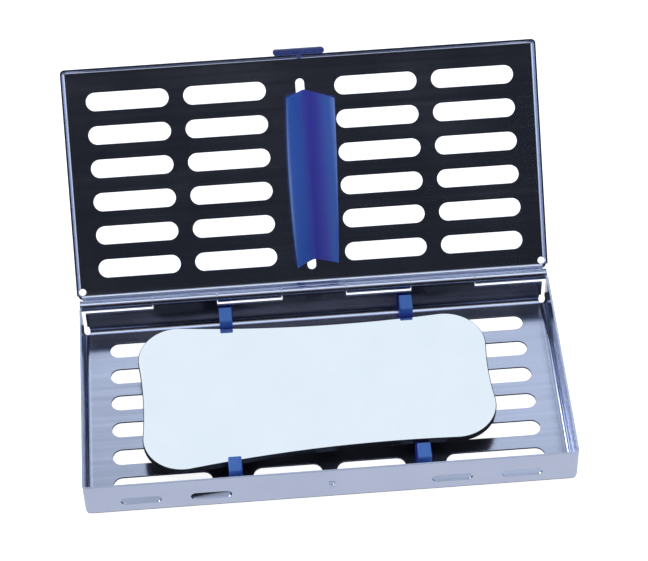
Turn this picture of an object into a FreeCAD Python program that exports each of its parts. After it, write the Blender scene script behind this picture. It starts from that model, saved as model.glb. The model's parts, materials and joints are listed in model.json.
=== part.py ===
import FreeCAD, Part
import math
import os
import Sketcher

# Hinged sterilising cassette that holds an intraoral mirror, lid standing open.
# Frame: +Z up, origin on the resting plane under the middle of the tray, -Y is the front.
# Everything on the lid is drawn as if the lid were shut, then turned open about the pin.

V = FreeCAD.Vector
X_AXIS = V(1, 0, 0)
SIZES = {
    # tray pressing
    "tray_width": 205.0,
    "tray_depth": 99.9,
    "wall_height": 19.5,
    "sheet": 0.8,
    "floor_bend": 3.2,
    "corner_bend": 2.0,
    # ventilation slots shared by floor and lid
    "slot_height": 8.0,
    "floor_pitch": 14.55,
    "floor_slot_shift": 0.75,
    "lid_pitch": 14.6,
    "lid_first_row": 11.0,
    "slot_rows": 6,
    "floor_inner_length": 29.0,
    "floor_inner_centre": 17.6,
    "floor_outer_length": 41.6,
    "floor_outer_centre": 70.0,
    "lid_slot_length": 36.0,
    "lid_inner_centre": 33.0,
    "lid_outer_centre": 75.4,
    # front wall
    "front_slot_length": 17.0,
    "front_slot_height": 4.4,
    "front_slot_level": 8.8,
    "front_slot_near": 50.0,
    "front_slot_far": 79.0,
    "catch_level": 10.2,
    "catch_hole": 2.4,
    "catch_mouth": 4.8,
    "catch_depth": 0.55,
    # rolled hinge
    "pin_radius": 1.5,
    "pin_play": 0.05,
    "pin_level": 15.3,
    "knuckle_pitch": 28.3,
    "knuckle_gap": 0.3,
    "hinge_cut_level": 12.4,
    "hinge_cut_inset": 0.4,
    "pin_length": 204.8,
    "relief_hole": 3.6,
    "rear_notch": 2.4,
    "corner_gap": 1.3,
    # lid pressing
    "lid_side_play": 0.2,
    "lid_front_play": 0.85,
    "lid_lift": 1.0,
    "lid_bend": 1.6,
    "lid_rear_bend": 2.0,
    "lid_flange": 5.0,
    "lid_corner_inset": 1.4,
    "lid_corner_drop": 0.4,
    "lid_relief_run": 1.2,
    "lid_relief_hole": 3.0,
    "lid_open": 132.56,
    # silicone mirror clips
    "clip_width": 5.8,
    "clip_upright": 7.8,
    "clip_ledge": 7.0,
    "clip_top": 15.4,
    "clip_seat": 8.0,
    "clip_offset": 39.4,
    "clip_back_face": 37.55,
    "clip_front_face": 35.6,
    "clip_neck": 3.6,
    "clip_edge": 0.6,
    # silicone hold-down strip
    "strip_slot_width": 3.8,
    "strip_slot_length": 83.8,
    "strip_slot_centre": 46.3,
    "strip_length": 74.5,
    "strip_shift": 3.1,
    "strip_trim": 1.3,
    "strip_point": 3.0,
    "strip_ridge": 1.2,
    "strip_left": 7.6,
    "strip_right": 13.2,
    "strip_right_foot": 10.4,
    "strip_drop": 1.2,
    "strip_rise": 7.6,
    "strip_skin": 1.5,
    "strip_neck": 3.4,
    "strip_neck_length": 66.0,
    "strip_bead": 8.0,
    "strip_bead_height": 1.2,
    # latch
    "latch_width": 22.0,
    "latch_thickness": 2.6,
    "latch_gap": 0.25,
    "latch_pin_radius": 0.6,
    "latch_pin_length": 20.0,
    "latch_pin_drop": 1.6,
    "latch_reach": 12.3,
    "latch_lug_offset": 7.4,
    "latch_lug_slot": 1.3,
    "latch_nub_length": 1.85,
    "latch_nub_root": 1.5,
    "latch_nub_tip": 0.8,
    "latch_bevel": 0.7,
    # intraoral mirror
    "mirror_length": 150.2,
    "mirror_glass": 2.8,
    "mirror_film": 0.1,
    "mirror_wide_half": 38.3,
    "mirror_narrow_half": 34.0,
    "mirror_waist_half": 32.95,
    "mirror_wide_radius": 17.1,
    "mirror_narrow_radius": 17.6,
    "mirror_end_hollow": 1.1,
    "mirror_narrow_hollow": 0.9,
    "mirror_bevel": 0.35,
    "mirror_shift_x": -2.8,
    "mirror_shift_y": 1.75,
    "mirror_turn": 1.1,
}

doc = FreeCAD.newDocument("cassette")
dims = doc.addObject("Spreadsheet::Sheet", "dims")
for row, (alias, value) in enumerate(SIZES.items(), start=1):
    dims.set("A%d" % row, alias)
    dims.set("B%d" % row, str(value))
    dims.setAlias("B%d" % row, alias)
doc.recompute()

# Levels and planes that several sub-parts share. THROUGH is deep enough to pass any sheet,
# PAST carries a cut beyond the face it opens, and TOUCH is the margin for "on this plane".
FLOOR = SIZES["sheet"]
WALL_TOP = SIZES["wall_height"]
BACK = SIZES["tray_depth"] / 2
SIDE = SIZES["tray_width"] / 2
ROLL_INNER = SIZES["pin_radius"] + SIZES["pin_play"]
ROLL_OUTER = ROLL_INNER + SIZES["sheet"]
PIN = V(0, BACK + ROLL_INNER, SIZES["pin_level"])
LID_UNDER = WALL_TOP + SIZES["lid_lift"]
LID_TOP = LID_UNDER + SIZES["sheet"]
LID_SIDE = SIDE + SIZES["lid_side_play"] + SIZES["sheet"]
LID_FRONT = BACK + SIZES["lid_front_play"] + SIZES["sheet"]
OPEN_LID = FreeCAD.Placement(V(0, 0, 0), FreeCAD.Rotation(X_AXIS, -SIZES["lid_open"]), PIN)
THROUGH = 6.0
PAST = 1.0
OUTER_KNUCKLE = 2.5
BORE_PLAY = 0.1
TOUCH = 0.01
SEARCH_SPAN = 1000.0
SEARCH_STEPS = 100
CURL_END = math.radians(115)


def new_body(label):
    body = doc.addObject("PartDesign::Body", label)
    body.Label = label
    return body


def origin_plane(body, role):
    for item in body.Origin.OriginFeatures:
        if item.Role == role:
            return item
    raise ValueError(role)


def sketch_on(body, name, role, centre=(0, 0, 0), binds=()):
    """Sketch on an origin plane, shifted in the plane's own axes by centre."""
    sketch = body.newObject("Sketcher::SketchObject", name)
    sketch.AttachmentSupport = [(origin_plane(body, role), "")]
    sketch.MapMode = "FlatFace"
    sketch.AttachmentOffset = FreeCAD.Placement(V(*centre), FreeCAD.Rotation())
    for path, expression in binds:
        sketch.setExpression("AttachmentOffset.Base." + path, expression)
    return sketch


def bind(sketch, kind, args, expression, value):
    index = sketch.addConstraint(Sketcher.Constraint(kind, *args, value))
    sketch.setExpression("Constraints[%d]" % index, expression)


def add_rectangle(sketch, width, height):
    """Rectangle centred on the sketch origin; width and height are expressions."""
    half_w = evaluate(width) / 2
    half_h = evaluate(height) / 2
    corners = [(-half_w, -half_h), (half_w, -half_h), (half_w, half_h), (-half_w, half_h)]
    for start, end in zip(corners, corners[1:] + corners[:1]):
        sketch.addGeometry(Part.LineSegment(V(*start, 0), V(*end, 0)), False)
    for line in range(4):
        sketch.addConstraint(Sketcher.Constraint("Coincident", line, 2, (line + 1) % 4, 1))
    for kind, line in (("Horizontal", 0), ("Horizontal", 2), ("Vertical", 1), ("Vertical", 3)):
        sketch.addConstraint(Sketcher.Constraint(kind, line))
    sketch.addConstraint(Sketcher.Constraint("Symmetric", 0, 1, 2, 1, -1, 1))
    bind(sketch, "DistanceX", (0, 1, 0, 2), width, 2 * half_w)
    bind(sketch, "DistanceY", (1, 1, 1, 2), height, 2 * half_h)


def add_obround(sketch, length, height):
    """Slot with full round ends, centred on the sketch origin, long way across."""
    radius = evaluate(height) / 2
    reach = evaluate(length) / 2 - radius
    half_turn = math.pi / 2
    sketch.addGeometry(Part.LineSegment(V(-reach, radius, 0), V(reach, radius, 0)), False)
    right = Part.Circle(V(reach, 0, 0), V(0, 0, 1), radius)
    sketch.addGeometry(Part.ArcOfCircle(right, -half_turn, half_turn), False)
    sketch.addGeometry(Part.LineSegment(V(reach, -radius, 0), V(-reach, -radius, 0)), False)
    left = Part.Circle(V(-reach, 0, 0), V(0, 0, 1), radius)
    sketch.addGeometry(Part.ArcOfCircle(left, half_turn, 3 * half_turn), False)
    sketch.addConstraint(Sketcher.Constraint("Tangent", 0, 2, 1, 2))
    sketch.addConstraint(Sketcher.Constraint("Tangent", 1, 1, 2, 1))
    sketch.addConstraint(Sketcher.Constraint("Tangent", 2, 2, 3, 2))
    sketch.addConstraint(Sketcher.Constraint("Tangent", 3, 1, 0, 1))
    sketch.addConstraint(Sketcher.Constraint("Horizontal", 0))
    sketch.addConstraint(Sketcher.Constraint("Symmetric", 1, 3, 3, 3, -1, 1))
    bind(sketch, "Radius", (1,), height + " / 2", radius)
    bind(sketch, "DistanceX", (3, 3, 1, 3), "%s - %s" % (length, height), 2 * reach)


def add_circle(sketch, diameter):
    radius = evaluate(diameter) / 2
    sketch.addGeometry(Part.Circle(V(0, 0, 0), V(0, 0, 1), radius), False)
    sketch.addConstraint(Sketcher.Constraint("Coincident", 0, 3, -1, 1))
    bind(sketch, "Radius", (0,), diameter + " / 2", radius)


def add_outline(sketch, points):
    """Closed straight-sided outline, beside whatever the sketch already holds."""
    first = sketch.GeometryCount
    for start, end in zip(points, points[1:] + points[:1]):
        sketch.addGeometry(Part.LineSegment(V(*start, 0), V(*end, 0)), False)
    count = len(points)
    for line in range(count):
        following = first + (line + 1) % count
        sketch.addConstraint(Sketcher.Constraint("Coincident", first + line, 2, following, 1))


def evaluate(expression):
    """Value of an expression made only of sheet names and plain arithmetic terms."""
    return float(dims.evalExpression(expression.replace("dims.", "")))


def extrude(body, kind, name, sketch, length, midplane=False, reverse=False):
    feature = body.newObject("PartDesign::" + kind, name)
    feature.Profile = sketch
    feature.SideType = "Symmetric" if midplane else "One side"
    feature.Reversed = reverse
    feature.setExpression("Length", length)
    doc.recompute()
    sketch.Visibility = False
    return feature


def round_edges(body, name, base, radius, chosen):
    names = []
    for index, edge in enumerate(base.Shape.Edges, start=1):
        if chosen(edge):
            names.append("Edge%d" % index)
    feature = body.newObject("PartDesign::Fillet", name)
    feature.Base = (base, names)
    feature.setExpression("Radius", radius)
    doc.recompute()
    return feature


def pattern_rows(body, name, original, axis_role, length, count):
    feature = body.newObject("PartDesign::LinearPattern", name)
    feature.Originals = [original]
    feature.Direction = (origin_plane(body, axis_role), [""])
    feature.setExpression("Length", length)
    feature.setExpression("Occurrences", count)
    body.Tip = feature
    doc.recompute()
    return feature


def cut_block(body, name, low, high):
    """Pocket away the box between two corners; its outline is drawn on the floor plane."""
    centre = ((low.x + high.x) / 2, (low.y + high.y) / 2, low.z)
    sketch = sketch_on(body, name + "_outline", "XY_Plane", centre)
    add_rectangle(sketch, repr(high.x - low.x), repr(high.y - low.y))
    doc.recompute()
    return extrude(body, "Pocket", name, sketch, repr(high.z - low.z), reverse=True)


def add_ring(sketch, start, end):
    """Rolled sheet around the pin, drawn between two angles, seen along the pin."""
    axis = V(PIN.y, PIN.z, 0)
    outer = Part.Circle(axis, V(0, 0, 1), ROLL_OUTER)
    inner = Part.Circle(axis, V(0, 0, 1), ROLL_INNER)
    ends = []
    for angle in (start, end):
        ray = V(math.cos(angle), math.sin(angle), 0)
        ends.append((axis + ray * ROLL_INNER, axis + ray * ROLL_OUTER))
    sketch.addGeometry(Part.ArcOfCircle(outer, start, end), False)
    sketch.addGeometry(Part.LineSegment(ends[1][1], ends[1][0]), False)
    sketch.addGeometry(Part.ArcOfCircle(inner, start, end), False)
    sketch.addGeometry(Part.LineSegment(ends[0][0], ends[0][1]), False)
    for first, second in (((0, 2), (1, 1)), ((1, 2), (2, 2)), ((2, 1), (3, 1)), ((3, 2), (0, 1))):
        sketch.addConstraint(Sketcher.Constraint("Coincident", *first, *second))
    sketch.addConstraint(Sketcher.Constraint("Coincident", 0, 3, 2, 3))
    bind(sketch, "Radius", (2,), "dims.pin_radius + dims.pin_play", ROLL_INNER)
    bind(sketch, "Radius", (0,), "dims.pin_radius + dims.pin_play + dims.sheet", ROLL_OUTER)


def add_knuckle(body, name, centre, length, start, end):
    sketch = sketch_on(body, name + "_roll", "YZ_Plane", (0, 0, centre))
    add_ring(sketch, start, end)
    doc.recompute()
    return extrude(body, "Pad", name, sketch, length, midplane=True)


def is_upright(edge, x, y):
    ends = [vertex.Point for vertex in edge.Vertexes]
    if len(ends) != 2 or abs(ends[0].z - ends[1].z) < SIZES["sheet"]:
        return False
    return all(abs(abs(p.x) - x) < TOUCH and abs(p.y - y) < TOUCH for p in ends)


def lies_at(edge, level, depth=None):
    ends = [vertex.Point for vertex in edge.Vertexes]
    flat = all(abs(p.z - level) < TOUCH for p in ends)
    if depth is None:
        return flat
    return flat and all(abs(p.y - depth) < TOUCH for p in ends)


def cut_slot(body, name, role, centre, length, height, binds=()):
    sketch = sketch_on(body, name + "_outline", role, centre, binds)
    add_obround(sketch, length, height)
    doc.recompute()
    return extrude(body, "Pocket", name, sketch, repr(THROUGH), midplane=True)


def slot_rows(body, name, level, first_row, columns, length_of, pitch):
    """Columns of ventilation slots, each repeated along the depth."""
    for number, (column, length) in enumerate(zip(columns, length_of)):
        for side in (-1, 1):
            label = "%s_%d_%s" % (name, number, "left" if side < 0 else "right")
            slot = cut_slot(body, label, "XY_Plane", (side * evaluate(column), first_row, level),
                            length, "dims.slot_height",
                            (("x", "%d * %s" % (side, column)),))
            pattern_rows(body, label + "_rows", slot, "Y_Axis",
                         "(dims.slot_rows - 1) * %s" % pitch, "dims.slot_rows")


def make_tray():
    body = new_body("base_tray")
    size = SIZES
    sheet = size["sheet"]
    outline = sketch_on(body, "tray_outline", "XY_Plane")
    add_rectangle(outline, "dims.tray_width", "dims.tray_depth")
    doc.recompute()
    extrude(body, "Pad", "tray_block", outline, "dims.wall_height")
    hollow = sketch_on(body, "tray_inside", "XY_Plane", (0, 0, FLOOR),
                       (("z", "dims.sheet"),))
    add_rectangle(hollow, "dims.tray_width - 2 * dims.sheet", "dims.tray_depth - 2 * dims.sheet")
    doc.recompute()
    shell = extrude(body, "Pocket", "tray_hollow", hollow, "dims.wall_height", reverse=True)
    shell = round_edges(body, "outer_corners", shell, "dims.corner_bend",
                        lambda e: is_upright(e, SIDE, -BACK))
    shell = round_edges(body, "inner_corners", shell, "dims.corner_bend - dims.sheet",
                        lambda e: is_upright(e, SIDE - sheet, -BACK + sheet))
    shell = round_edges(body, "outer_floor_bend", shell, "dims.floor_bend",
                        lambda e: lies_at(e, 0))
    round_edges(body, "inner_floor_bend", shell, "dims.floor_bend - dims.sheet",
                lambda e: lies_at(e, FLOOR))
    first_row = size["floor_slot_shift"] - (size["slot_rows"] - 1) / 2 * size["floor_pitch"]
    slot_rows(body, "floor_slot", FLOOR - sheet / 2, first_row,
              ("dims.floor_inner_centre", "dims.floor_outer_centre"),
              ("dims.floor_inner_length", "dims.floor_outer_length"), "dims.floor_pitch")
    cut_front_wall(body)
    cut_clip_holes(body)
    cut_hinge_side(body)
    shape_knuckles(body)
    return body


def cut_front_wall(body):
    level = SIZES["front_slot_level"]
    depth = BACK - SIZES["sheet"] / 2
    for column in ("front_slot_near", "front_slot_far"):
        for side in (-1, 1):
            name = "%s_%s" % (column, "left" if side < 0 else "right")
            cut_slot(body, name, "XZ_Plane", (side * SIZES[column], level, depth),
                     "dims.front_slot_length", "dims.front_slot_height",
                     (("x", "%d * dims.%s" % (side, column)),
                      ("y", "dims.front_slot_level")))
    catch_z = SIZES["catch_level"]
    catch = sketch_on(body, "catch_hole_outline", "XZ_Plane", (0, catch_z, depth),
                      (("y", "dims.catch_level"),))
    add_circle(catch, "dims.catch_hole")
    doc.recompute()
    extrude(body, "Pocket", "catch_hole_cut", catch, repr(THROUGH), midplane=True)
    mouth = body.newObject("PartDesign::SubtractiveCone", "catch_mouth_cut")
    mouth.AttachmentSupport = [(origin_plane(body, "XZ_Plane"), "")]
    mouth.MapMode = "FlatFace"
    inner_end = BACK - SIZES["catch_depth"]
    mouth.AttachmentOffset = FreeCAD.Placement(V(0, catch_z, inner_end), FreeCAD.Rotation())
    mouth.setExpression("Radius1", "dims.catch_hole / 2")
    mouth.setExpression("Radius2", "dims.catch_mouth / 2")
    mouth.setExpression("Height", "dims.catch_depth")
    doc.recompute()


def clip_hole_places():
    back = SIZES["clip_back_face"] + SIZES["clip_upright"] / 2
    front = SIZES["clip_front_face"] + SIZES["clip_upright"] / 2
    return [(side * SIZES["clip_offset"], y) for y in (back, -front) for side in (-1, 1)]


def cut_clip_holes(body):
    for number, (x, y) in enumerate(clip_hole_places()):
        sketch = sketch_on(body, "clip_hole_%d_outline" % number, "XY_Plane", (x, y, FLOOR))
        add_circle(sketch, "dims.clip_neck + %s" % BORE_PLAY)
        doc.recompute()
        extrude(body, "Pocket", "clip_hole_%d" % number, sketch, repr(THROUGH / 2), midplane=True)


def cut_hinge_side(body):
    """Back wall cut down between the knuckles, with open corners and round reliefs."""
    size = SIZES
    behind = BACK + PAST
    front = BACK - size["sheet"] - size["hinge_cut_inset"]
    above = WALL_TOP + PAST
    pitch = size["knuckle_pitch"]
    half_cut = (pitch + size["knuckle_gap"]) / 2
    cut_level = size["hinge_cut_level"]
    cut_block(body, "back_wall_top", V(-SIDE - PAST, front, PIN.z), V(SIDE + PAST, behind, above))
    inner_end = OUTER_KNUCKLE * pitch - size["knuckle_gap"] / 2
    for side in (-1, 1):
        tag = "left" if side < 0 else "right"
        middle = side * pitch
        cut_block(body, "hinge_cut_inner_" + tag, V(middle - half_cut, front, cut_level),
                  V(middle + half_cut, behind, above))
        reach = sorted((side * inner_end, side * (SIDE + PAST)))
        cut_block(body, "hinge_cut_outer_" + tag, V(reach[0], front, cut_level),
                  V(reach[1], behind, above))
        wall_end = SIDE - size["sheet"] - size["corner_gap"]
        reach = sorted((side * wall_end, side * (SIDE + PAST)))
        cut_block(body, "corner_gap_" + tag, V(reach[0], front, FLOOR + size["floor_bend"] / 2),
                  V(reach[1], behind, above))
        cut_block(body, "rear_notch_" + tag,
                  V(reach[0], front - size["rear_notch"], WALL_TOP - size["rear_notch"]),
                  V(reach[1], behind, above))
        relief = sketch_on(body, "relief_outline_" + tag, "XY_Plane",
                           (side * (wall_end + size["corner_gap"] / 2), front, FLOOR))
        add_circle(relief, "dims.relief_hole")
        doc.recompute()
        extrude(body, "Pocket", "relief_" + tag, relief, "dims.floor_bend * 2", midplane=True)


def shape_knuckles(body):
    first = add_knuckle(body, "tray_knuckle", -2 * SIZES["knuckle_pitch"],
                        "dims.knuckle_pitch - dims.knuckle_gap", -CURL_END, math.pi)
    pattern_rows(body, "tray_knuckles", first, "X_Axis", "4 * dims.knuckle_pitch", "3")


def make_lid():
    body = new_body("lid_panel")
    size = SIZES
    sheet = size["sheet"]
    rear = BACK
    middle = (rear - LID_FRONT) / 2
    depth = "(dims.tray_depth + dims.lid_front_play + dims.sheet)"
    width = "(dims.tray_width + 2 * dims.lid_side_play + 2 * dims.sheet)"
    outline = sketch_on(body, "lid_outline", "XY_Plane", (0, middle, PIN.z))
    add_rectangle(outline, width, depth)
    doc.recompute()
    extrude(body, "Pad", "lid_block", outline, repr(LID_TOP - PIN.z))
    hollow = sketch_on(body, "lid_inside", "XY_Plane", (0, middle, PIN.z))
    add_rectangle(hollow, width + " - 2 * dims.sheet", depth + " - 2 * dims.sheet")
    doc.recompute()
    shell = extrude(body, "Pocket", "lid_hollow", hollow, repr(LID_UNDER - PIN.z), reverse=True)
    shell = round_edges(body, "lid_outer_corners", shell, "dims.corner_bend",
                        lambda e: is_upright(e, LID_SIDE, -LID_FRONT))
    shell = round_edges(body, "lid_inner_corners", shell, "dims.corner_bend - dims.sheet",
                        lambda e: is_upright(e, LID_SIDE - sheet, -LID_FRONT + sheet))
    shell = round_edges(body, "lid_rear_outer_bend", shell, "dims.lid_rear_bend + dims.sheet",
                        lambda e: lies_at(e, LID_TOP, rear))
    shell = round_edges(body, "lid_rear_inner_bend", shell, "dims.lid_rear_bend",
                        lambda e: lies_at(e, LID_UNDER, rear - sheet))
    start = rear - size["lid_rear_bend"] - sheet
    shell = round_edges(body, "lid_outer_bend", shell, "dims.lid_bend + dims.sheet",
                        lambda e: lies_at(e, LID_TOP) and not lies_at(e, LID_TOP, start))
    round_edges(body, "lid_inner_bend", shell, "dims.lid_bend",
                lambda e: lies_at(e, LID_UNDER) and not lies_at(e, LID_UNDER, start))
    trim_lid(body, start)
    slot_rows(body, "lid_slot", LID_TOP - sheet / 2, row_start(start),
              ("dims.lid_inner_centre", "dims.lid_outer_centre"),
              ("dims.lid_slot_length", "dims.lid_slot_length"), "dims.lid_pitch")
    cut_strip_slot(body)
    for side in (-1, 1):
        tag = "left" if side < 0 else "right"
        add_knuckle(body, "lid_knuckle_inner_" + tag, side * size["knuckle_pitch"],
                    "dims.knuckle_pitch - dims.knuckle_gap", -math.pi, CURL_END)
        inner = OUTER_KNUCKLE * size["knuckle_pitch"] + size["knuckle_gap"] / 2
        add_knuckle(body, "lid_knuckle_outer_" + tag, side * (inner + SIDE) / 2,
                    repr(SIDE - inner), -math.pi, CURL_END)
    body.Placement = OPEN_LID
    return body


def row_start(bend_line):
    rows = SIZES["slot_rows"] - 1
    return bend_line - SIZES["lid_first_row"] - rows * SIZES["lid_pitch"]


def trim_lid(body, bend_line):
    """Flange depth, knuckle gaps and the corner reliefs of the lid."""
    size = SIZES
    beyond = LID_SIDE + PAST
    flange_end = LID_TOP - size["lid_flange"]
    cut_block(body, "flange_trim", V(-beyond, -LID_FRONT - PAST, PIN.z - PAST),
              V(beyond, bend_line, flange_end))
    half_cut = (size["knuckle_pitch"] + size["knuckle_gap"]) / 2
    for number in (-1, 0, 1):
        middle = number * 2 * size["knuckle_pitch"]
        cut_block(body, "lid_hinge_cut_%d" % (number + 1),
                  V(middle - half_cut, bend_line - PAST, PIN.z - PAST),
                  V(middle + half_cut, BACK + PAST, PIN.z + ROLL_OUTER))
    for side in (-1, 1):
        tag = "left" if side < 0 else "right"
        inner = SIDE - size["lid_corner_inset"]
        reach = sorted((side * inner, side * beyond))
        cut_block(body, "lid_corner_" + tag, V(reach[0], bend_line, PIN.z - PAST),
                  V(reach[1], BACK + PAST, LID_UNDER - size["lid_corner_drop"]))
        relief = sketch_on(body, "lid_relief_outline_" + tag, "XY_Plane",
                           (side * inner, bend_line - size["lid_relief_run"], LID_UNDER))
        add_circle(relief, "dims.lid_relief_hole")
        doc.recompute()
        extrude(body, "Pocket", "lid_relief_" + tag, relief, repr(THROUGH), midplane=True)


def cut_strip_slot(body):
    sketch = sketch_on(body, "strip_slot_outline", "XY_Plane", (0, strip_middle(), LID_UNDER))
    sketch.AttachmentOffset = FreeCAD.Placement(V(0, strip_middle(), LID_UNDER),
                                                FreeCAD.Rotation(V(0, 0, 1), 90))
    add_obround(sketch, "dims.strip_slot_length", "dims.strip_slot_width")
    doc.recompute()
    extrude(body, "Pocket", "strip_slot", sketch, repr(THROUGH), midplane=True)


def strip_middle():
    return BACK - SIZES["lid_rear_bend"] - SIZES["sheet"] - SIZES["strip_slot_centre"]


def make_pin():
    body = new_body("hinge_pin")
    sketch = sketch_on(body, "hinge_pin_outline", "YZ_Plane", (PIN.y, PIN.z, 0))
    add_circle(sketch, "2 * dims.pin_radius")
    doc.recompute()
    rod = extrude(body, "Pad", "hinge_pin_rod", sketch, "dims.pin_length", midplane=True)
    ends = body.newObject("PartDesign::Chamfer", "hinge_pin_ends")
    ends.Base = (rod, ["Edge%d" % (i + 1) for i, e in enumerate(rod.Shape.Edges) if e.isClosed()])
    ends.Size = SIZES["sheet"] / 2
    doc.recompute()
    return body


def make_clip(label, side, row):
    """Silicone post with a ledge; row is 1 at the back and -1 at the front."""
    size = SIZES
    body = new_body(label)
    face = size["clip_back_face"] if row > 0 else size["clip_front_face"]
    edge = size["clip_edge"]
    outer = face + size["clip_upright"]
    ledge = face - size["clip_ledge"]
    seat = size["clip_seat"]
    top = size["clip_top"]
    profile = [(ledge, FLOOR), (outer, FLOOR), (outer, top - edge), (outer - edge, top),
               (face + edge, top), (face, top - edge), (face, seat), (ledge + edge, seat),
               (ledge, seat - edge)]
    outline = sketch_on(body, label + "_profile", "YZ_Plane",
                        (0, 0, side * size["clip_offset"]))
    add_outline(outline, [(row * y, z) for y, z in profile])
    doc.recompute()
    extrude(body, "Pad", label + "_block", outline, "dims.clip_width", midplane=True)
    middle = row * (face + size["clip_upright"] / 2)
    neck = sketch_on(body, label + "_neck", "XY_Plane", (side * size["clip_offset"], middle, 0))
    add_circle(neck, "dims.clip_neck")
    doc.recompute()
    extrude(body, "Pad", label + "_neck_pad", neck, "dims.sheet")
    return body


def make_strip():
    """Soft gull-wing strip whose neck is buttoned through the long slot of the lid."""
    size = SIZES
    body = new_body("hold_down_strip")
    ridge = size["strip_ridge"]
    left = ridge - size["strip_left"]
    right = ridge + size["strip_right"]
    top = LID_UNDER - size["strip_drop"]
    tip = top - size["strip_rise"]
    skin = size["strip_skin"]
    wings = [(left, tip), (left, tip + skin), (ridge, top + skin), (right, tip + skin),
             (right, tip), (ridge, top)]
    middle = strip_middle()
    wing_middle = middle + size["strip_shift"]
    profile = sketch_on(body, "strip_profile", "XZ_Plane", (0, 0, -wing_middle))
    add_outline(profile, wings)
    doc.recompute()
    extrude(body, "Pad", "strip_wings", profile, "dims.strip_length + 4 * dims.strip_point",
            midplane=True)
    half = size["strip_length"] / 2
    point = size["strip_point"]
    foot = ridge + size["strip_right_foot"]
    end = half - size["strip_trim"]
    keep = [(left, half), (ridge, half - point), (foot, end), (right, -end),
            (ridge, -half - point), (left, -half)]
    around = sketch_on(body, "strip_plan", "XY_Plane", (0, wing_middle, LID_UNDER))
    add_rectangle(around, "4 * dims.strip_right", "2 * dims.strip_length")
    add_outline(around, keep)
    doc.recompute()
    extrude(body, "Pocket", "strip_ends", around, "10 * dims.strip_rise", midplane=True)
    for part, width, low, height in (("neck", "dims.strip_neck", top, LID_TOP - top),
                                     ("bead", "dims.strip_bead", LID_TOP,
                                      size["strip_bead_height"])):
        sketch = sketch_on(body, "strip_" + part, "XY_Plane", (0, middle, low))
        add_rectangle(sketch, width, "dims.strip_neck_length")
        doc.recompute()
        extrude(body, "Pad", "strip_%s_pad" % part, sketch, repr(height))
    body.Placement = OPEN_LID
    return body


def latch_pivot():
    y = -LID_FRONT - SIZES["latch_gap"] - SIZES["latch_thickness"] / 2
    return V(0, y, LID_TOP - SIZES["latch_pin_drop"])


def add_latch_lugs(body):
    """Two small ears on the lid's front flange that carry the latch pin."""
    pivot = latch_pivot()
    half = SIZES["latch_thickness"] / 2 - SIZES["latch_bevel"] / 4
    root = -LID_FRONT + SIZES["sheet"] / 4
    for side in (-1, 1):
        tag = "left" if side < 0 else "right"
        sketch = sketch_on(body, "lug_outline_" + tag, "YZ_Plane",
                           ((root + pivot.y - half) / 2, pivot.z,
                            side * SIZES["latch_lug_offset"]))
        add_rectangle(sketch, repr(root - pivot.y + half), repr(2 * half))
        doc.recompute()
        extrude(body, "Pad", "lug_" + tag, sketch, "dims.sheet", midplane=True)
        hole = sketch_on(body, "lug_bore_outline_" + tag, "YZ_Plane",
                         (pivot.y, pivot.z, side * SIZES["latch_lug_offset"]))
        add_circle(hole, "2 * dims.latch_pin_radius")
        doc.recompute()
        extrude(body, "Pocket", "lug_bore_" + tag, hole, "2 * dims.sheet", midplane=True)


def make_latch_pin():
    body = new_body("latch_pin")
    pivot = latch_pivot()
    sketch = sketch_on(body, "latch_pin_outline", "YZ_Plane", (pivot.y, pivot.z, 0))
    add_circle(sketch, "2 * dims.latch_pin_radius")
    doc.recompute()
    extrude(body, "Pad", "latch_pin_rod", sketch, "dims.latch_pin_length", midplane=True)
    body.Placement = OPEN_LID
    return body


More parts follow.
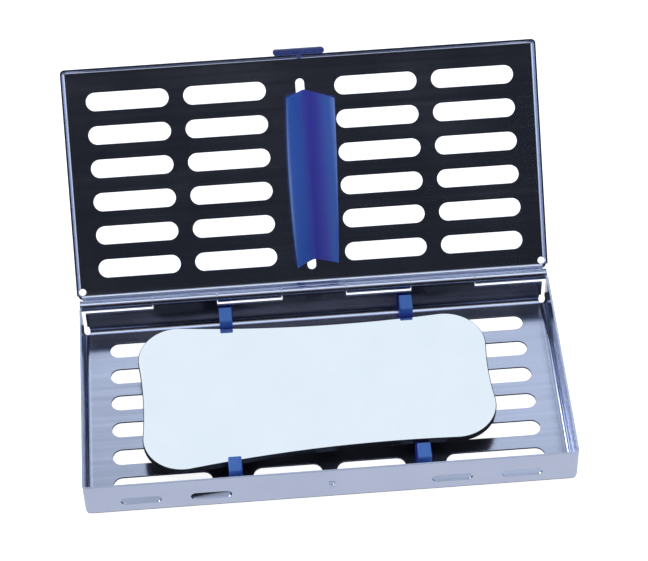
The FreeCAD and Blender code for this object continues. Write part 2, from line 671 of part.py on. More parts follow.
def make_latch_lever():
    """Moulded grip that swings on the latch pin and snaps its nub into the catch."""
    size = SIZES
    body = new_body("latch_lever")
    pivot = latch_pivot()
    half = size["latch_thickness"] / 2
    low = pivot.z - size["latch_reach"]
    bevel = size["latch_bevel"]
    sketch = sketch_on(body, "lever_profile", "YZ_Plane")
    centre = V(pivot.y, pivot.z, 0)
    head = Part.Circle(centre, V(0, 0, 1), half)
    corners = [V(pivot.y - half, pivot.z, 0), V(pivot.y - half, low + bevel, 0),
               V(pivot.y - half + bevel, low, 0), V(pivot.y + half - bevel, low, 0),
               V(pivot.y + half, low + bevel, 0), V(pivot.y + half, pivot.z, 0)]
    sketch.addGeometry(Part.ArcOfCircle(head, 0, math.pi), False)
    for start, end in zip(corners, corners[1:]):
        sketch.addGeometry(Part.LineSegment(start, end), False)
    lines = len(corners) - 1
    for line in range(lines):
        following = line + 2 if line + 1 < lines else 0
        sketch.addConstraint(Sketcher.Constraint("Coincident", line + 1, 2, following, 1))
    sketch.addConstraint(Sketcher.Constraint("Coincident", 0, 2, 1, 1))
    bind(sketch, "Radius", (0,), "dims.latch_thickness / 2", half)
    doc.recompute()
    bar = extrude(body, "Pad", "lever_bar", sketch, "dims.latch_width", midplane=True)
    outer_face = pivot.y - half
    names = []
    for index, edge in enumerate(bar.Shape.Edges, start=1):
        if is_upright(edge, size["latch_width"] / 2, outer_face):
            names.append("Edge%d" % index)
    bevels = body.newObject("PartDesign::Chamfer", "lever_bevels")
    bevels.Base = (bar, names)
    bevels.setExpression("Size", "dims.latch_bevel")
    doc.recompute()
    for side in (-1, 1):
        tag = "left" if side < 0 else "right"
        middle = side * size["latch_lug_offset"]
        gap = size["latch_lug_slot"] / 2
        cut_block(body, "lever_slot_" + tag,
                  V(middle - gap, pivot.y - 2 * half, pivot.z - half - bevel),
                  V(middle + gap, pivot.y + 2 * half, pivot.z + 2 * half))
    bore = sketch_on(body, "lever_bore_outline", "YZ_Plane", (pivot.y, pivot.z, 0))
    add_circle(bore, "2 * dims.latch_pin_radius + %s" % BORE_PLAY)
    doc.recompute()
    extrude(body, "Pocket", "lever_bore", bore, "2 * dims.latch_width", midplane=True)
    nub = body.newObject("PartDesign::AdditiveCone", "lever_nub")
    nub.AttachmentSupport = [(origin_plane(body, "XZ_Plane"), "")]
    nub.MapMode = "FlatFace"
    catch_z = size["catch_level"]
    tip_depth = -(pivot.y + half) - size["latch_nub_length"]
    nub.AttachmentOffset = FreeCAD.Placement(V(0, catch_z, tip_depth), FreeCAD.Rotation())
    nub.setExpression("Radius1", "dims.latch_nub_tip")
    nub.setExpression("Radius2", "dims.latch_nub_root")
    nub.setExpression("Height", "dims.latch_nub_length")
    doc.recompute()
    body.Placement = OPEN_LID
    return body


def long_hollow(wide, narrow, waist):
    """Centre and radius of the hollow long side, which touches both corner circles."""
    gap = narrow[0] - wide[0]
    low = gap / SEARCH_SPAN
    high = gap * SEARCH_SPAN
    for _ in range(SEARCH_STEPS):
        radius = math.sqrt(low * high)
        runs = [math.sqrt((r + y - waist) * (2 * radius + r - y + waist))
                for x, y, r in (wide, narrow)]
        if sum(runs) > gap:
            high = radius
        else:
            low = radius
    return (wide[0] + runs[0], waist + radius, radius)


def end_hollow(corner, side, depth):
    """Centre and radius of the hollow end beside a corner circle."""
    x, y, r = corner
    radius = (y * y / depth + depth) / 2 - r
    return (x + side * (r - depth + radius), 0, radius)


def point_between(corner, hollow, inset):
    """Where a corner circle, shrunk by inset, meets its neighbouring hollow."""
    centre = V(corner[0], corner[1], 0)
    way = V(hollow[0], hollow[1], 0) - centre
    return centre + way.normalize() * (corner[2] - inset)


def mirror_outline(inset):
    """Dog-bone outline as eight arcs in order; inset shrinks it evenly."""
    size = SIZES
    half = size["mirror_length"] / 2
    wide_r = size["mirror_wide_radius"]
    narrow_r = size["mirror_narrow_radius"]
    wide = (-half + wide_r, size["mirror_wide_half"] - wide_r, wide_r)
    narrow = (half - narrow_r, size["mirror_narrow_half"] - narrow_r, narrow_r)
    side = long_hollow(wide, narrow, size["mirror_waist_half"])
    left = end_hollow(wide, -1, size["mirror_end_hollow"])
    right = end_hollow(narrow, 1, size["mirror_narrow_hollow"])
    upper = [point_between(wide, left, inset), point_between(wide, side, inset),
             point_between(narrow, side, inset), point_between(narrow, right, inset)]
    slant = math.sqrt(0.5)
    middles = [V(wide[0] - slant * (wide_r - inset), wide[1] + slant * (wide_r - inset), 0),
               V(side[0], size["mirror_waist_half"] - inset, 0),
               V(narrow[0] + slant * (narrow_r - inset), narrow[1] + slant * (narrow_r - inset), 0)]
    arcs = [Part.Arc(upper[i], middles[i], upper[i + 1]) for i in range(3)]
    right_middle = V(half - size["mirror_narrow_hollow"] - inset, 0, 0)
    arcs.append(Part.Arc(upper[3], right_middle, flip(upper[3])))
    for i in (2, 1, 0):
        arcs.append(Part.Arc(flip(upper[i + 1]), flip(middles[i]), flip(upper[i])))
    left_middle = V(size["mirror_end_hollow"] - half + inset, 0, 0)
    arcs.append(Part.Arc(flip(upper[0]), left_middle, upper[0]))
    return arcs


def flip(point):
    return V(point.x, -point.y, point.z)


def make_mirror_layer(label, low, thickness, inset, bevelled):
    size = SIZES
    body = new_body(label)
    sketch = sketch_on(body, label + "_outline", "XY_Plane")
    for arc in mirror_outline(inset):
        sketch.addGeometry(arc, False)
    doc.recompute()
    plate = extrude(body, "Pad", label + "_plate", sketch, thickness)
    if bevelled:
        top = plate.Shape.BoundBox.ZMax
        plate = round_edges(body, label + "_edge_top", plate, "dims.mirror_bevel",
                            lambda e: lies_at(e, top))
        round_edges(body, label + "_edge_bottom", plate, "dims.mirror_bevel",
                    lambda e: lies_at(e, 0))
    turn = FreeCAD.Rotation(V(0, 0, 1), size["mirror_turn"])
    place = V(size["mirror_shift_x"], size["mirror_shift_y"], low)
    body.Placement = FreeCAD.Placement(place, turn)
    return body


def make_mirror():
    size = SIZES
    seat = size["clip_seat"]
    film = size["mirror_film"]
    inset = size["mirror_bevel"]
    glass = size["mirror_glass"]
    return [make_mirror_layer("mirror_backing", seat, "dims.mirror_film", inset, False),
            make_mirror_layer("mirror_glass", seat + film, "dims.mirror_glass", 0, True),
            make_mirror_layer("mirror_coating", seat + film + glass, "dims.mirror_film", inset,
                              False)]


def build_all():
    bodies = [make_tray(), make_pin()]
    for row_name, row in (("back", 1), ("front", -1)):
        for side_name, side in (("left", -1), ("right", 1)):
            bodies.append(make_clip("mirror_clip_%s_%s" % (row_name, side_name), side, row))
    lid = make_lid()
    add_latch_lugs(lid)
    bodies.append(lid)
    bodies.append(make_strip())
    bodies.append(make_latch_pin())
    bodies.append(make_latch_lever())
    bodies.extend(make_mirror())
    return bodies


def check_and_write(bodies):
    doc.recompute()
    for item in doc.Objects:
        if "Invalid" in item.State or "Error" in item.State:
            raise RuntimeError("%s: %s" % (item.Label, item.State))
    os.makedirs("parts", exist_ok=True)
    for body in bodies:
        if body.Shape.isNull() or not body.Shape.isValid():
            raise RuntimeError("bad shape: " + body.Label)
        if len(body.Shape.Solids) != 1:
            raise RuntimeError("%s has %d solids" % (body.Label, len(body.Shape.Solids)))
        body.Shape.exportStep("parts/%s.step" % body.Label)
        print(body.Label, round(body.Shape.Volume, 1), body.Shape.BoundBox)


check_and_write(build_all())
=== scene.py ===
import json
import math

import bmesh
import bpy
from mathutils import Matrix, Vector


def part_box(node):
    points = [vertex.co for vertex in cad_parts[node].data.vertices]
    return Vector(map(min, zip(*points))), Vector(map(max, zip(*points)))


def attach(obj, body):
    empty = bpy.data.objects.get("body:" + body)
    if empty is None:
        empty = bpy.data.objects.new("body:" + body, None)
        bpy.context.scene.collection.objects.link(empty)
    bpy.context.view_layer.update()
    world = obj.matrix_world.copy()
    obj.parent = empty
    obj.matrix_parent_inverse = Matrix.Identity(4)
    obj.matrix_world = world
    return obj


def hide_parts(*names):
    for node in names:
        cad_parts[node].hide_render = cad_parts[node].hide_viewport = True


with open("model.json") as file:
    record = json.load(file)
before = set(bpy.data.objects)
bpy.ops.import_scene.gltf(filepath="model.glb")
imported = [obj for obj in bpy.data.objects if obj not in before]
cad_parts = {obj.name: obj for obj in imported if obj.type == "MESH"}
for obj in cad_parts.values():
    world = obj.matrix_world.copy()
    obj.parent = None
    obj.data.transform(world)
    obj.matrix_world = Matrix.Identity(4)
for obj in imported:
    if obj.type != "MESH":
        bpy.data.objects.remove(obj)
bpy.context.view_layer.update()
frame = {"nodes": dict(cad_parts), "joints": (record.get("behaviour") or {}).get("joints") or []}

MM = 0.001
NODES = frame["nodes"]
# The hinge that the lid turns about. The lid's soft pieces are shaped as if it were shut, then opened.
HINGE = next(joint for joint in frame["joints"] if joint["name"] == "lid_hinge")
CLIPS = ("mirror_clip_back_left", "mirror_clip_back_right",
         "mirror_clip_front_left", "mirror_clip_front_right")

# Sheet metal: its thickness and the radius that deburring leaves on its edges
SHEET = 0.8 * MM
DEBURR = 0.15 * MM

# The hold-down strip, lying along Y under the shut lid
STRIP_LEFT = 7.6 * MM          # from the ridge to the left side, at the strip's ends
STRIP_DROP = 1.2 * MM          # from the lid sheet's under face to the ridge's under face
STRIP_SKIN = 1.2 * MM          # thickness of the wings
STRIP_POINT = 3.0 * MM         # depth of the point at the front end and of the notch at the rear
STRIP_TRIM = 1.3 * MM          # how much shorter each end is at the right side
STRIP_TAPER = 2.8 * MM         # how much narrower the rear end is
STRIP_BOW = 1.2 * MM           # how far the left side bulges at mid-length
RIGHT_BOW = STRIP_BOW / 3      # the same for the right side
STRIP_CURL = 1.2 * MM          # how far the left rear corner curls towards the lid
CURL_POWER = 6
WING_ROUND = 0.28              # softness of the ridge: 0 would be a sharp fold
WING_SPAN = math.sqrt(1 + WING_ROUND ** 2) - WING_ROUND
END_SKIN = 0.2                 # share of the thickness that is left at the very ends
STRIP_STEPS = 60
WING_STEPS = 28
TIP_STEPS = 6

# The neck that passes through the lid's centre slot, and the bead that holds it there
NECK_WIDTH = 3.4 * MM
NECK_EDGE = 0.2 * MM
BEAD_WIDTH = 8 * MM
BEAD_EDGE = 0.5 * MM
NECK_LENGTH = 66 * MM          # over the round ends
NECK_OFFSET = 1.6 * MM         # how far the neck sits in front of the strip's middle

# The mirror clips
CLIP_UPRIGHT = 7.8 * MM        # thickness of the post outside the mirror's edge
CLIP_DRAFT = 0.15 * MM
CLIP_EDGE = 0.45 * MM
CLIP_NECK = 3.6 * MM
CLIP_NECK_EDGE = 0.1 * MM

# Steps of the round ends and of the softened edges of a pill
PILL_STEPS = 16
EDGE_STEPS = 4

# Mill grain: noise that is stretched along X
GRAIN_STRETCH = (6, 600, 600)
# The part of its range that a noise texture mostly stays in
NOISE_LOW = 0.3
NOISE_HIGH = 0.7

# Metal colours, each as a dull and a bright one
TRAY_STEEL = ((0.57, 0.62, 0.80), (0.62, 0.67, 0.85))
PIN_STEEL = ((0.5, 0.52, 0.58), (0.6, 0.62, 0.68))
MIRROR_SILVER = ((0.90, 0.95, 0.985), (0.93, 0.97, 1.0))
# Dark parts, each as a darker and a lighter shade
# The glass edge's near black is painted shade, standing in for the dark that the edge reflects.
GLASS_EDGE_PAINTED_SHADE = ((0.004, 0.005, 0.008), (0.012, 0.014, 0.02))
MIRROR_BACK = ((0.01, 0.01, 0.012), (0.02, 0.02, 0.024))
LATCH_BLUE = ((0.02, 0.035, 0.17), (0.035, 0.06, 0.26))
# Blues of the silicone, and the faint mottle that they are multiplied by
VIOLET_BLUE = (0.040, 0.047, 0.42)
CLEAR_BLUE = (0.030, 0.115, 0.50)
PALE_BLUE = (0.16, 0.28, 0.66)
POST_BLUE = (0.07, 0.20, 0.62)
MOTTLE = ((0.93, 0.93, 0.96), (1, 1, 1))

# The run of blues from the strip's left tip to its right tip, as (share of the way, colour)
STRIP_SHADE_LEFT = -7.6 * MM
STRIP_SHADE_RIGHT = 14.6 * MM
# Paler towards the tips partly because the silicone is thinner there and partly as painted light.
STRIP_BLUES_AND_PAINTED_LIGHT = ((0.0, PALE_BLUE), (0.08, CLEAR_BLUE), (0.24, CLEAR_BLUE), (0.46, VIOLET_BLUE),
                (0.6, VIOLET_BLUE), (0.86, CLEAR_BLUE), (1.0, PALE_BLUE))
# The run of blues from the mirror's seat up to the top of a clip
# Paler towards the top partly because the silicone is thin at its top edges and partly as painted
# light on the faces that look up.
CLIP_BLUES_AND_PAINTED_LIGHT = ((0.0, VIOLET_BLUE), (0.75, CLEAR_BLUE), (0.97, POST_BLUE))

# The table: how far it reaches, the gap under the tray and how bright it glows for the
# camera and for polished metal
TABLE_REACH = 4.0
TABLE_GAP = 0.05 * MM
TABLE_WHITE = (0.88, 0.88, 0.88)
TABLE_GLOW = 0.8
METAL_TABLE_GREY = (0.5, 0.5, 0.5)
METAL_TABLE_GLOW = 0.34

# Studio light
WHITE = (1, 1, 1)
COOL = (0.86, 0.93, 1.0)
WARM = (1.0, 0.9, 0.78)
ROOM_COLOUR = (0.78, 0.84, 1.0)
ROOM_STRENGTH = 0.028
LIGHT_TARGET = (0, 0.03, 0.02)
SIDE_DISTANCE = 2.0

# The camera: where it stands, which way it looks and its lens, in the photograph's view
CAMERA_PLACE = Vector((-0.032695, -0.652428, 0.841345))
CAMERA_FORWARD = Vector((0.0344407, 0.6509672, -0.7583242))
CAMERA_UP = Vector((0.0703625, 0.7553121, 0.6515772))
CAMERA_LENS = 137.647
CAMERA_SENSOR = 36.0


# ---------------------------------------------------------------- node helpers
def new_material(name):
    material = bpy.data.materials.new(name)
    material.use_nodes = True
    shader = material.node_tree.nodes["Principled BSDF"]
    return material, material.node_tree, shader


def add(tree, kind, **settings):
    node = tree.nodes.new(kind)
    for key, value in settings.items():
        setattr(node, key, value)
    return node


def object_place(tree, scale=(1, 1, 1)):
    """The object's own coordinates, stretched by scale so that grain can run one way."""
    source = add(tree, "ShaderNodeTexCoord")
    mapping = add(tree, "ShaderNodeMapping")
    mapping.inputs["Scale"].default_value = scale
    tree.links.new(source.outputs["Object"], mapping.inputs["Vector"])
    return mapping.outputs["Vector"]


def noise(tree, vector, scale, detail=3.0):
    node = add(tree, "ShaderNodeTexNoise")
    node.inputs["Scale"].default_value = scale
    node.inputs["Detail"].default_value = detail
    tree.links.new(vector, node.inputs["Vector"])
    return node.outputs["Fac"]


def spread(tree, value, low, high, from_low=NOISE_LOW, from_high=NOISE_HIGH):
    """Value, taken from its own range to the one from low to high."""
    node = add(tree, "ShaderNodeMapRange")
    node.inputs["From Min"].default_value = from_low
    node.inputs["From Max"].default_value = from_high
    node.inputs["To Min"].default_value = low
    node.inputs["To Max"].default_value = high
    tree.links.new(value, node.inputs["Value"])
    return node.outputs["Result"]


def two_colours(tree, pattern, colours):
    """Cloudy mix of two colours that follows a noise pattern."""
    node = add(tree, "ShaderNodeMix", data_type="RGBA")
    for socket, colour in zip("AB", colours):
        node.inputs[socket].default_value = (*colour, 1)
    tree.links.new(spread(tree, pattern, 0, 1), node.inputs["Factor"])
    return node.outputs["Result"]


def graded(tree, place, axis, low, high, colours):
    """Smooth run of colours along one axis of the piece, from low to high."""
    split = add(tree, "ShaderNodeSeparateXYZ")
    tree.links.new(place, split.inputs["Vector"])
    ramp = add(tree, "ShaderNodeValToRGB")
    ramp.color_ramp.interpolation = "EASE"
    while len(ramp.color_ramp.elements) < len(colours):
        ramp.color_ramp.elements.new(1.0)
    for element, (stop, colour) in zip(ramp.color_ramp.elements, colours):
        element.position = stop
        element.color = (*colour, 1)
    tree.links.new(spread(tree, split.outputs[axis], 0, 1, low, high), ramp.inputs["Fac"])
    return ramp.outputs["Color"]


def soft_edges(tree, radius):
    """A normal that rounds every edge by radius, as deburring does."""
    node = add(tree, "ShaderNodeBevel", samples=6)
    node.inputs["Radius"].default_value = radius
    return node.outputs["Normal"]


def bump(tree, height, strength, distance, before=None):
    node = add(tree, "ShaderNodeBump")
    node.inputs["Strength"].default_value = strength
    node.inputs["Distance"].default_value = distance
    tree.links.new(height, node.inputs["Height"])
    if before is not None:
        tree.links.new(before, node.inputs["Normal"])
    return node.outputs["Normal"]


def surface(tree, shader, colour, roughness, normal=None):
    """Links what varies over the surface to the shader."""
    tree.links.new(colour, shader.inputs["Base Color"])
    tree.links.new(roughness, shader.inputs["Roughness"])
    if normal is not None:
        tree.links.new(normal, shader.inputs["Normal"])


# ------------------------------------------------------------------- materials
def brushed_steel(name, colours, smoothest, roughest):
    """Polished sheet or wire with the mill grain running along the length of the tray."""
    material, tree, shader = new_material(name)
    grain = noise(tree, object_place(tree, GRAIN_STRETCH), scale=1.0, detail=2.0)
    cloud = noise(tree, object_place(tree), scale=28.0)
    roughness = add(tree, "ShaderNodeMath", operation="MULTIPLY")
    tree.links.new(spread(tree, grain, low=0.8, high=1.2), roughness.inputs[0])
    tree.links.new(spread(tree, cloud, smoothest, roughest), roughness.inputs[1])
    surface(tree, shader,
            colour=two_colours(tree, cloud, colours),
            roughness=roughness.outputs["Value"],
            normal=bump(tree, grain, strength=0.06, distance=0.02 * MM,
                        before=soft_edges(tree, DEBURR)))
    shader.inputs["Metallic"].default_value = 1.0
    return material


def silicone(name, axis, low, high, colours):
    """Soft moulded silicone: satin and slightly translucent, in blues that run along one axis. The run
    is partly the silicone's own depth of colour and partly painted light.
    """
    material, tree, shader = new_material(name)
    place = object_place(tree)
    cloud = noise(tree, place, scale=120.0, detail=2.0)
    skin = noise(tree, place, scale=2600.0, detail=2.0)
    mottle = add(tree, "ShaderNodeMix", data_type="RGBA", blend_type="MULTIPLY")
    mottle.inputs["Factor"].default_value = 1.0
    tree.links.new(graded(tree, place, axis, low, high, colours), mottle.inputs["A"])
    tree.links.new(two_colours(tree, cloud, MOTTLE), mottle.inputs["B"])
    surface(tree, shader,
            colour=mottle.outputs["Result"],
            roughness=spread(tree, cloud, low=0.34, high=0.46),
            normal=bump(tree, skin, strength=0.15, distance=0.03 * MM))
    shader.inputs["Subsurface Weight"].default_value = 0.25
    shader.inputs["Subsurface Radius"].default_value = (0.2, 0.4, 1.0)
    shader.inputs["Subsurface Scale"].default_value = 1.5 * MM
    shader.inputs["Specular IOR Level"].default_value = 0.45
    return material


def mirror_front(name):
    """Front coating: bright, a little blue, with the faintest handling haze."""
    material, tree, shader = new_material(name)
    haze = noise(tree, object_place(tree), scale=60.0, detail=4.0)
    surface(tree, shader,
            colour=two_colours(tree, haze, MIRROR_SILVER),
            roughness=spread(tree, haze, low=0.015, high=0.045))
    shader.inputs["Metallic"].default_value = 1.0
    return material


def dark_glass(name):
    """Ground edge of the glass: near black as painted shade, standing in for the dark that the edge
    reflects, with a soft sheen.
    """
    material, tree, shader = new_material(name)
    ground = noise(tree, object_place(tree), scale=900.0, detail=2.0)
    surface(tree, shader,
            colour=two_colours(tree, ground, GLASS_EDGE_PAINTED_SHADE),
            roughness=spread(tree, ground, low=0.12, high=0.25),
            normal=bump(tree, ground, strength=0.1, distance=0.03 * MM))
    return material


def paint(name, colours, smoothest, roughest):
    """Plain lacquer or moulded plastic with a fine orange-peel skin."""
    material, tree, shader = new_material(name)
    place = object_place(tree)
    peel = noise(tree, place, scale=1500.0, detail=1.0)
    surface(tree, shader,
            colour=two_colours(tree, noise(tree, place, scale=90.0), colours),
            roughness=spread(tree, peel, smoothest, roughest),
            normal=bump(tree, peel, strength=0.1, distance=0.04 * MM))
    return material


def dress(node, material):
    """Gives a CAD node its finish."""
    slots = NODES[node].material_slots
    if not slots:
        NODES[node].data.materials.append(material)
    for slot in slots:
        slot.material = material


# ----------------------------------------------------------------- mesh helpers
def link(name, bm, smooth=True):
    """Puts the mesh into the scene under name."""
    mesh = bpy.data.meshes.new(name)
    bmesh.ops.recalc_face_normals(bm, faces=bm.faces)
    bm.to_mesh(mesh)
    bm.free()
    if smooth:
        mesh.shade_smooth()
    piece = bpy.data.objects.new(name, mesh)
    bpy.context.scene.collection.objects.link(piece)
    return piece


def loft(rings):
    """Closed skin through rings of equal length, capped at both ends."""
    bm = bmesh.new()
    rows = [[bm.verts.new(point) for point in ring] for ring in rings]
    count = len(rows[0])
    for first, second in zip(rows, rows[1:]):
        for k in range(count):
            after = (k + 1) % count
            bm.faces.new((first[k], first[after], second[after], second[k]))
    bm.faces.new(rows[0][::-1])
    bm.faces.new(rows[-1])
    return bm


def pill(name, low, high, edge):
    """Block along Y with full round ends and softened top and bottom edges."""
    centre = (low + high) / 2
    radius = (high.x - low.x) / 2
    straight = (high.y - low.y) / 2 - radius
    outline = []
    for side in (1, -1):
        for k in range(PILL_STEPS + 1):
            angle = math.pi * k / PILL_STEPS
            outline.append((side * math.cos(angle), side * math.sin(angle), side * straight))
    levels = []
    for k in range(EDGE_STEPS + 1):
        angle = math.pi / 2 * k / EDGE_STEPS
        levels.append((low.z + edge * (1 - math.cos(angle)), edge * (1 - math.sin(angle))))
    levels += [(high.z - (z - low.z), inset) for z, inset in levels[::-1]]
    rings = []
    for z, inset in levels:
        reach = radius - inset
        rings.append([Vector((centre.x + x * reach, centre.y + shift + y * reach, z))
                      for x, y, shift in outline])
    return link(name, loft(rings))


# -------------------------------------------------------------- hold-down strip
def opened():
    """Matrix that carries a piece drawn on the shut lid to where the lid stands at rest."""
    pin = Vector(HINGE["pos_m"])
    swing = Matrix.Rotation(-math.radians(HINGE["range_deg"][1]), 4, Vector(HINGE["axis"]))
    return Matrix.Translation(pin) @ swing @ Matrix.Translation(-pin)


def shut_box(node):
    """Lowest and highest corner of a lid node as it lies when the lid is shut."""
    back = opened().inverted()
    points = [back @ vertex.co for vertex in NODES[node].data.vertices]
    low = Vector([min(p[k] for p in points) for k in range(3)])
    high = Vector([max(p[k] for p in points) for k in range(3)])
    return low, high


def wing_section(left, right, ridge, top, rise, skin):
    """Gull-wing section, seen along the strip: under face, round tip, upper face, round tip."""
    half = skin / 2
    spine = []
    for k in range(WING_STEPS + 1):
        x = left + half + (right - left - skin) * k / WING_STEPS
        reach = (ridge - left) if x < ridge else (right - ridge)
        share = abs(x - ridge) / reach
        drop = rise * (math.sqrt(share ** 2 + WING_ROUND ** 2) - WING_ROUND) / WING_SPAN
        spine.append(Vector((x, 0, top - drop + half)))
    under, upper = [], []
    for k, point in enumerate(spine):
        run = (spine[min(k + 1, WING_STEPS)] - spine[max(k - 1, 0)]).normalized()
        side = Vector((-run.z, 0, run.x)) * half
        under.append(point - side)
        upper.append(point + side)
    tips = []
    for centre, start in ((spine[-1], under[-1]), (spine[0], upper[0])):
        tips.append([centre + Matrix.Rotation(-math.pi * k / TIP_STEPS, 3, "Y") @ (start - centre)
                     for k in range(1, TIP_STEPS)])
    return under + tips[0] + upper[::-1] + tips[1]


def wing_ring(share, low, high, ridge, top):
    """One section of the strip; share runs from -1 at its front end to 1 at its rear end."""
    middle = (low.y + high.y) / 2
    half = (high.y - low.y) / 2
    bow = 1 - share ** 2
    to_end = min((1 - abs(share)) * half / STRIP_SKIN, 1)
    skin = STRIP_SKIN * max(math.sqrt(1 - (1 - to_end) ** 2), END_SKIN)
    left = low.x - STRIP_BOW * bow
    right = high.x - STRIP_TAPER * (1 + share) / 2 + RIGHT_BOW * bow
    ring = []
    for point in wing_section(left, right, ridge, top, top - low.z - STRIP_SKIN, skin):
        on_left = point.x < ridge
        away = (ridge - point.x) / (ridge - left) if on_left else (point.x - ridge) / (right - ridge)
        away = min(max(away, 0), 1)
        trim = 0 if on_left else STRIP_TRIM * away
        front = -half + STRIP_POINT * away + trim
        back = half - STRIP_POINT * (1 - away) - trim
        point.y = middle + front + (back - front) * (share + 1) / 2
        if on_left and share > 0:
            point.z += STRIP_CURL * away * share ** CURL_POWER
        ring.append(point)
    return ring


def make_strip():
    """Soft channel strip: two wings from a ridge, buttoned through the lid by a neck and bead."""
    low, high = shut_box("hold_down_strip")
    lid_top = shut_box("lid_panel")[1].z
    top = lid_top - SHEET - STRIP_DROP
    shares = [math.sin(math.pi / 2 * (2 * k / STRIP_STEPS - 1)) for k in range(STRIP_STEPS + 1)]
    rings = [wing_ring(share, low, high, low.x + STRIP_LEFT, top) for share in shares]
    strip = link("strip_wings", loft(rings))
    parts = [strip]
    middle = (low.y + high.y) / 2 - NECK_OFFSET
    for name, width, bottom, roof, edge in (
            ("strip_neck", NECK_WIDTH, top, lid_top, NECK_EDGE),
            ("strip_bead", BEAD_WIDTH, lid_top, high.z, BEAD_EDGE)):
        reach = Vector((width / 2, NECK_LENGTH / 2, 0))
        parts.append(pill(name, Vector((0, middle, bottom)) - reach,
                          Vector((0, middle, roof)) + reach, edge))
    for part in parts:
        part.data.transform(opened())
        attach(part, "lid")
    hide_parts("hold_down_strip")
    return parts


# ------------------------------------------------------------------ mirror clips
def clip_block(node, seat, floor):
    """Post with a ledge under the mirror, drafted and with soft arrises.

    Returns it with the point under the middle of its post.
    """
    low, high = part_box(node)
    row = 1 if (low.y + high.y) > 0 else -1
    outer = high.y if row > 0 else low.y
    ledge = low.y if row > 0 else high.y
    face = outer - row * CLIP_UPRIGHT
    lean = row * CLIP_DRAFT
    section = [(ledge, floor), (outer, floor), (outer - lean, high.z), (face + lean, high.z),
               (face, seat), (ledge, seat)]
    bm = bmesh.new()
    sides = []
    for x, inward in ((low.x, 1), (high.x, -1)):
        sides.append([bm.verts.new((x + inward * CLIP_DRAFT * (z - floor) / (high.z - floor), y, z))
                      for y, z in section])
    count = len(section)
    for k in range(count):
        after = (k + 1) % count
        bm.faces.new((sides[0][k], sides[0][after], sides[1][after], sides[1][k]))
    bm.faces.new(sides[0][::-1])
    bm.faces.new(sides[1])
    bmesh.ops.recalc_face_normals(bm, faces=bm.faces)
    bmesh.ops.bevel(bm, geom=list(bm.edges), offset=CLIP_EDGE, offset_type="OFFSET", segments=3,
                    profile=0.6, affect="EDGES", clamp_overlap=True)
    post = Vector(((low.x + high.x) / 2, (outer + face) / 2, low.z))
    return link("soft_" + node, bm), post


def make_clip(node):
    """Silicone clip: the block on the tray's floor, and the neck that passes through the floor."""
    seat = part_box("mirror_backing")[0].z
    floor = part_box("base_tray")[0].z + SHEET
    clip, post = clip_block(node, seat, floor)
    half = CLIP_NECK / 2
    neck = pill("neck_" + node, post - Vector((half, half, 0)),
                post + Vector((half, half, SHEET + CLIP_EDGE)), CLIP_NECK_EDGE)
    for part in (clip, neck):
        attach(part, "tray")
    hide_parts(node)
    return [clip, neck]


# ------------------------------------------------------------------------ stage
def plane(name, low, high, hole=None):
    """Flat rectangle at the level of low, with an optional rectangular hole."""
    bm = bmesh.new()
    if hole is None:
        xs, ys = (low.x, high.x), (low.y, high.y)
    else:
        xs = (low.x, hole[0].x, hole[1].x, high.x)
        ys = (low.y, hole[0].y, hole[1].y, high.y)
    grid = [[bm.verts.new((x, y, low.z)) for x in xs] for y in ys]
    for j in range(len(ys) - 1):
        for k in range(len(xs) - 1):
            if hole is None or (j, k) != (1, 1):
                bm.faces.new((grid[j][k], grid[j][k + 1], grid[j + 1][k + 1], grid[j + 1][k]))
    return link(name, bm, smooth=False)


def stage_material(name, colour, glow, tint=WHITE):
    """Matt surface that glows, so that it stays pale where little light falls."""
    material, tree, shader = new_material(name)
    shader.inputs["Base Color"].default_value = (*colour, 1)
    shader.inputs["Roughness"].default_value = 0.9
    shader.inputs["Specular IOR Level"].default_value = 0.0
    shader.inputs["Emission Color"].default_value = (*tint, 1)
    shader.inputs["Emission Strength"].default_value = glow
    return material


def make_floor():
    """White table for the camera, and the plane that polished metal sees in its place.

    The second plane has a hole under the tray, so metal sees no white through the open slots.
    """
    low = Vector((-TABLE_REACH, -TABLE_REACH, -TABLE_GAP))
    high = Vector((TABLE_REACH, TABLE_REACH, 0))
    floor = plane("studio_floor", low, high)
    floor.data.materials.append(stage_material("studio_white", TABLE_WHITE, TABLE_GLOW))
    floor.visible_glossy = False
    seen = plane("studio_floor_seen_by_metal", low, high, hole=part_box("base_tray"))
    seen.data.materials.append(
        stage_material("studio_white_soft", METAL_TABLE_GREY, METAL_TABLE_GLOW, COOL))
    seen.visible_camera = False
    seen.visible_diffuse = False
    seen.visible_shadow = False
    seen.visible_transmission = False


def soft_light(name, place, width, height, radiance, colour=COOL, target=LIGHT_TARGET):
    """A rectangular soft box that faces target; radiance is how bright its face looks."""
    data = bpy.data.lights.new(name, "AREA")
    data.shape = "RECTANGLE"
    data.size = width
    data.size_y = height
    data.energy = radiance * math.pi * width * height
    data.color = colour
    light = bpy.data.objects.new(name, data)
    light.location = place
    light.rotation_mode = "QUATERNION"
    light.rotation_quaternion = (Vector(target) - Vector(place)).to_track_quat("-Z", "Y")
    light.visible_camera = False
    bpy.context.scene.collection.objects.link(light)
    return light


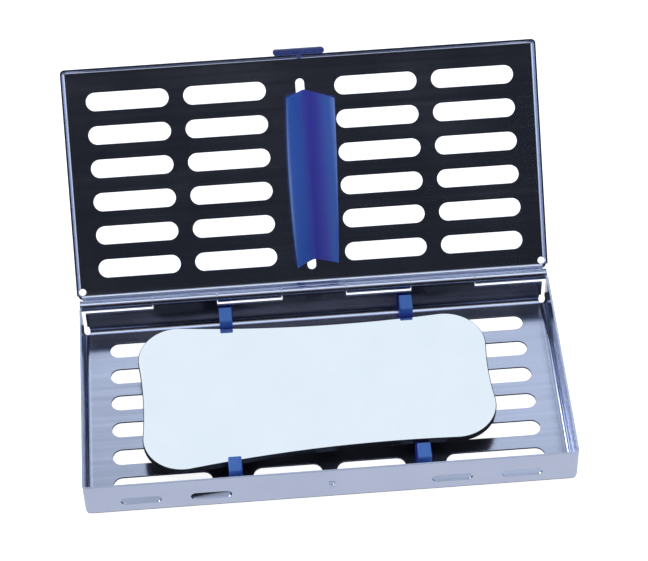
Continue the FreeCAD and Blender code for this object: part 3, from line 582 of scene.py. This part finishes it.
def make_lights():
    """Soft boxes. Towards the camera, the mirror and the tray mostly reflect those at the back."""
    soft_light("back_box", place=(0.6, 1.9, 1.45), width=4.0, height=2.9, radiance=0.62,
               target=(0.6, 0, 1.45))
    soft_light("mirror_box", place=(0.04, 1.52, 1.84), width=0.62, height=0.4, radiance=0.32)
    soft_light("right_back_box", place=(0.64, 1.42, 1.84), width=0.5, height=0.9, radiance=0.45)
    soft_light("left_back_strip", place=(-1.51, 1.31, 0.62), width=0.6, height=1.1, radiance=7.0)
    soft_light("top_box", place=(0, -0.05, 2.5), width=2.4, height=1.5, radiance=1.25)
    soft_light("front_top_box", place=(0.5, -0.85, 2.1), width=1.8, height=0.6, radiance=0.34,
               colour=WARM)
    for name, x in (("left_box", -SIDE_DISTANCE), ("right_box", SIDE_DISTANCE)):
        soft_light(name, place=(x, -0.5, 0.75), width=1.2, height=1.4, radiance=1.2)
    fill = soft_light("front_fill", place=(0, -1.8, 1.6), width=2.4, height=1.4, radiance=2.0,
                      colour=WHITE)
    fill.visible_glossy = False


def make_world():
    world = bpy.data.worlds.new("studio")
    world.use_nodes = True
    back = world.node_tree.nodes["Background"]
    back.inputs["Color"].default_value = (*ROOM_COLOUR, 1)
    back.inputs["Strength"].default_value = ROOM_STRENGTH
    bpy.context.scene.world = world


def make_camera():
    data = bpy.data.cameras.new("photo_view")
    data.sensor_width = CAMERA_SENSOR
    data.lens = CAMERA_LENS
    data.clip_start = 0.01
    data.clip_end = 50
    camera = bpy.data.objects.new("photo_view", data)
    right = CAMERA_FORWARD.cross(CAMERA_UP).normalized()
    up = right.cross(CAMERA_FORWARD).normalized()
    turn = Matrix((right, up, -CAMERA_FORWARD)).transposed()
    camera.matrix_world = Matrix.Translation(CAMERA_PLACE) @ turn.to_4x4()
    bpy.context.scene.collection.objects.link(camera)
    bpy.context.scene.camera = camera


def make_stage():
    make_world()
    make_floor()
    make_lights()
    bpy.context.scene.view_settings.view_transform = "Standard"


# ----------------------------------------------------------------------- build
def dress_steel():
    sheet = brushed_steel("tray_steel", TRAY_STEEL, smoothest=0.15, roughest=0.22)
    wire = brushed_steel("pin_steel", PIN_STEEL, smoothest=0.18, roughest=0.26)
    for node, steel in (("base_tray", sheet), ("lid_panel", sheet),
                        ("hinge_pin", wire), ("latch_pin", wire)):
        dress(node, steel)


def dress_latch_and_mirror():
    dress("latch_lever", paint("latch_plastic", LATCH_BLUE, smoothest=0.2, roughest=0.3))
    dress("mirror_backing", paint("backing", MIRROR_BACK, smoothest=0.4, roughest=0.55))
    dress("mirror_glass", dark_glass("mirror_body"))
    dress("mirror_coating", mirror_front("mirror_face"))


def make_silicone_pieces():
    # Both runs of blue are partly painted light: paler where the silicone is thin and where light
    # falls on it.
    strip_blue = silicone("strip_silicone", "X", STRIP_SHADE_LEFT, STRIP_SHADE_RIGHT, STRIP_BLUES_AND_PAINTED_LIGHT)
    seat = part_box("mirror_backing")[0].z
    clip_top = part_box(CLIPS[0])[1].z
    clip_blue = silicone("clip_silicone", "Z", seat, clip_top, CLIP_BLUES_AND_PAINTED_LIGHT)
    for clip in CLIPS:
        for part in make_clip(clip):
            part.data.materials.append(clip_blue)
    for part in make_strip():
        part.data.materials.append(strip_blue)


make_camera()
make_stage()
dress_steel()
make_silicone_pieces()
dress_latch_and_mirror()
